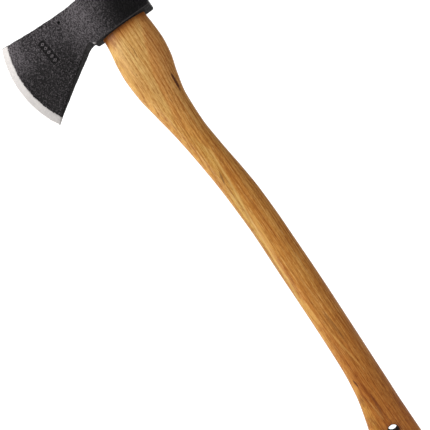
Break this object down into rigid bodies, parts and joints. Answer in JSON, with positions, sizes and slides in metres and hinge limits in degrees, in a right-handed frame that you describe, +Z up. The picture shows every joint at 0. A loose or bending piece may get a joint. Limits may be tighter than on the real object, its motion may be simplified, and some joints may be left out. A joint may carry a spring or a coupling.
{
  "type": "camp hatchet",
  "caption": "Camp hatchet: bearded forged head, ground edge and flat poll on a curved hickory handle with a lanyard hole.",
  "frame": {"origin": "on the flat butt of the handle, straight below the middle of the eye", "axes": "+Z up the handle to the head along the middle of the eye, -X towards the cutting edge, +X towards the poll, Y across the thickness"},
  "size_m": [0.142, 0.0304, 0.5075],
  "materials": {
    "coated_steel": "black crinkled coat over forged steel, with the bevel along the edge ground bare",
    "hickory": "clear lacquered hickory",
    "wedge_wood": "sawn end grain",
    "bare_steel": "bare steel"
  },
  "bodies": {
    "root": {"axe_head": "coated_steel", "handle": "hickory", "eye_wedge": "wedge_wood", "steel_wedge": "bare_steel"}
  },
  "joints": []
}
